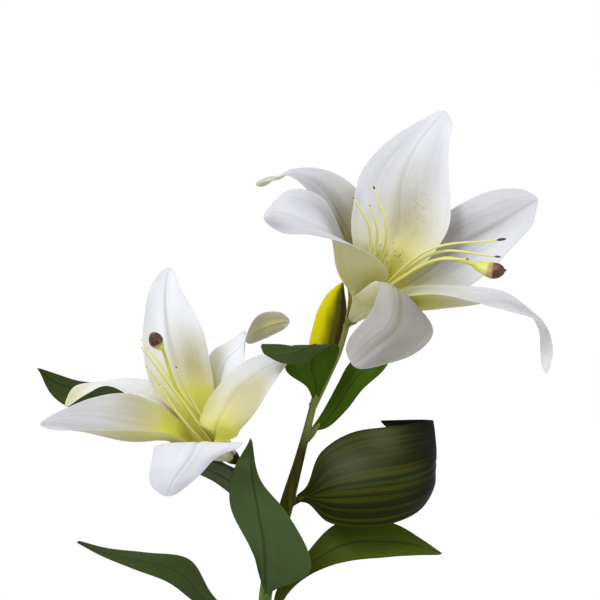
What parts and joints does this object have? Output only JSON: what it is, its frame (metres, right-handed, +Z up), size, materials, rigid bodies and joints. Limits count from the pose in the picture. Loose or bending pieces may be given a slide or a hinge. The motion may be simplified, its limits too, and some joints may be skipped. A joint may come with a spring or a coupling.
{
  "type": "potted oriental lily",
  "caption": "Tall stemmed lily with open white funnel blooms, a closed bud and long pointed leaves, standing in soil in a plain round clay pot.",
  "frame": {"origin": "middle of the pot's flat underside", "axes": "+Z up along the main stem; -Y towards the viewer, where both blooms face; +X to the viewer's right, where the higher bloom is"},
  "size_m": [0.3339, 0.2066, 0.5185],
  "materials": {
    "clay": "matte",
    "soil": "matte",
    "stem": "satin",
    "bud": "satin",
    "petal": "satin",
    "filament": "satin",
    "pistil": "satin",
    "leaf": "satin"
  },
  "bodies": {
    "root": {"pot": "clay", "soil": "soil", "stem": "stem", "bud": "bud", "petal_right_top": "petal", "petal_right_right": "petal", "petal_right_lower": "petal", "petal_right_front": "petal", "petal_right_left": "petal", "petal_right_back": "petal", "petal_left_top": "petal", "petal_left_back": "petal", "petal_left_right": "petal", "petal_left_front": "petal", "petal_left_left": "petal", "petal_left_far": "petal", "stamens_right": "filament", "stamens_left": "filament", "pistil_right": "pistil", "pistil_left": "pistil", "leaf_bud": "leaf", "leaf_under_right_bloom": "leaf", "leaf_curled": "leaf", "leaf_behind_left_bloom": "leaf", "leaf_under_left_bloom": "leaf", "leaf_front": "leaf", "leaf_lower_right": "leaf", "leaf_lower_left": "leaf", "leaf_low_1": "leaf", "leaf_low_2": "leaf", "leaf_low_3": "leaf", "leaf_low_4": "leaf", "leaf_low_5": "leaf", "leaf_low_6": "leaf"}
  },
  "joints": []
}
